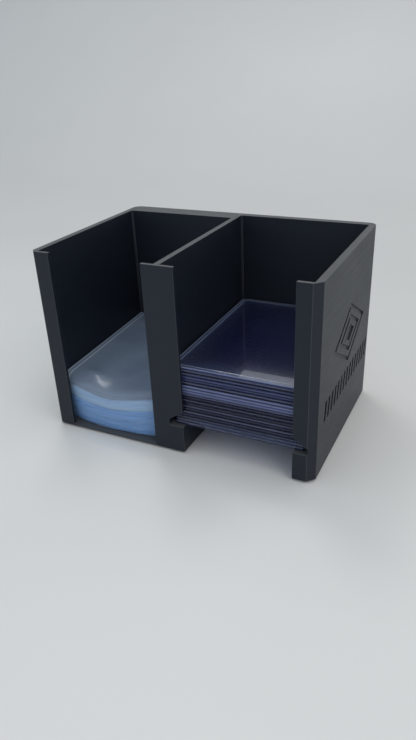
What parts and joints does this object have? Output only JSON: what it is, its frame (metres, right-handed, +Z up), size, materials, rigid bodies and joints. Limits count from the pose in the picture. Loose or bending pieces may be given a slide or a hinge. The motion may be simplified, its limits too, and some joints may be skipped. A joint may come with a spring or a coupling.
{
  "type": "card sleeve and card holder dispenser",
  "caption": "Two-bay printed desktop dispenser: soft card sleeves in the left bay, rigid clear card holders over a finger channel in the right bay, drawn out through a front slot.",
  "frame": {"origin": "centre of the footprint, on the surface the dispenser stands on", "axes": "+X to the right seen from the open front, +Y to the back wall, +Z up"},
  "size_m": [0.162, 0.1104, 0.109],
  "materials": {
    "housing_plastic": "matt, fine printed layer lines",
    "holder_plastic": "clear, glossy, faint blue tint",
    "sleeve_film": "clear soft film, bluish in a stack"
  },
  "bodies": {
    "housing": {"housing": "housing_plastic"},
    "bottom_holder": {"card_holder_01": "holder_plastic"},
    "holder_stack": {"card_holder_02": "holder_plastic", "card_holder_03": "holder_plastic", "card_holder_04": "holder_plastic", "card_holder_05": "holder_plastic", "card_holder_06": "holder_plastic", "card_holder_07": "holder_plastic", "card_holder_08": "holder_plastic", "card_holder_09": "holder_plastic", "card_holder_10": "holder_plastic", "card_holder_11": "holder_plastic", "card_holder_12": "holder_plastic", "card_holder_13": "holder_plastic", "card_holder_14": "holder_plastic", "card_holder_15": "holder_plastic", "card_holder_16": "holder_plastic", "card_holder_17": "holder_plastic", "card_holder_18": "holder_plastic", "card_holder_19": "holder_plastic"},
    "top_holder": {"card_holder_20": "holder_plastic"},
    "sleeve_stack": {"sleeve_bundle_lower": "sleeve_film", "sleeve_bundle_middle": "sleeve_film", "sleeve_bundle_upper": "sleeve_film"},
    "top_sleeve": {"top_sleeve": "sleeve_film"}
  },
  "joints": [
    {"name": "bottom_holder_slide", "type": "slide", "parent": "housing", "child": "bottom_holder", "axis": [0, -1, 0], "range_m": [0, 0.105]},
    {"name": "holder_stack_lift", "type": "slide", "parent": "housing", "child": "holder_stack", "axis": [0, 0, 1], "range_m": [0, 0.095]},
    {"name": "top_holder_lift", "type": "slide", "parent": "holder_stack", "child": "top_holder", "axis": [0, 0, 1], "range_m": [0, 0.06]},
    {"name": "sleeve_stack_lift", "type": "slide", "parent": "housing", "child": "sleeve_stack", "axis": [0, 0, 1], "range_m": [0, 0.11]},
    {"name": "top_sleeve_lift", "type": "slide", "parent": "sleeve_stack", "child": "top_sleeve", "axis": [0, 0, 1], "range_m": [0, 0.085]}
  ]
}
